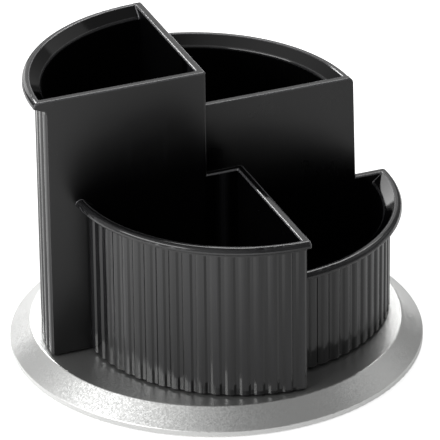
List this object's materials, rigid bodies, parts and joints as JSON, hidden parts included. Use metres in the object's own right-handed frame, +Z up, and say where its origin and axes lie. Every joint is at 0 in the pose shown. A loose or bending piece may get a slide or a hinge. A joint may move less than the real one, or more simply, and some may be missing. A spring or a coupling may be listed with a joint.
{
  "type": "rotating desk organizer",
  "caption": "Rotating desk organizer: a pinwheel of quarter-round black cups with stepped rims, reeded walls and flared lips, turning on a round silver base.",
  "frame": {"origin": "on the turning axis, at the desk surface under the feet", "axes": "+Z up along the turning axis, +X to the right along the front-to-left cup wall as it stands in the picture, +Y away from the viewer"},
  "size_m": [0.165, 0.165, 0.1218],
  "materials": {
    "black_plastic": "polished moulding",
    "silver_plastic": "satin metallic silver lacquer",
    "plate_plastic": "fine moulded texture",
    "bearing_plastic": "smooth natural",
    "bearing_steel": "bright",
    "screw_steel": "zinc plated",
    "insert_brass": "turned",
    "foot_rubber": "matte"
  },
  "bodies": {
    "base": {"base_shell": "silver_plastic", "bottom_plate": "plate_plastic", "plate_screws": "screw_steel", "rubber_feet": "foot_rubber", "lower_race": "bearing_steel", "lower_race_screws": "screw_steel", "pivot_bush": "bearing_plastic"},
    "cage": {"ball_cage": "bearing_plastic", "bearing_balls": "bearing_steel"},
    "caddy": {"caddy": "black_plastic", "upper_race": "bearing_steel", "upper_race_screws": "screw_steel", "hub_insert": "insert_brass", "pivot_washer": "screw_steel", "pivot_screw": "screw_steel"}
  },
  "joints": [
    {"name": "caddy_spin", "type": "hinge", "parent": "base", "child": "caddy", "pos_m": [0, 0, 0.01], "axis": [0, 0, 1], "continuous": true},
    {"name": "cage_spin", "type": "hinge", "parent": "base", "child": "cage", "pos_m": [0, 0, 0.0092], "axis": [0, 0, 1], "continuous": true}
  ],
  "couplings": [
    {"joint": "cage_spin", "follows": "caddy_spin", "ratio": 0.5}
  ]
}
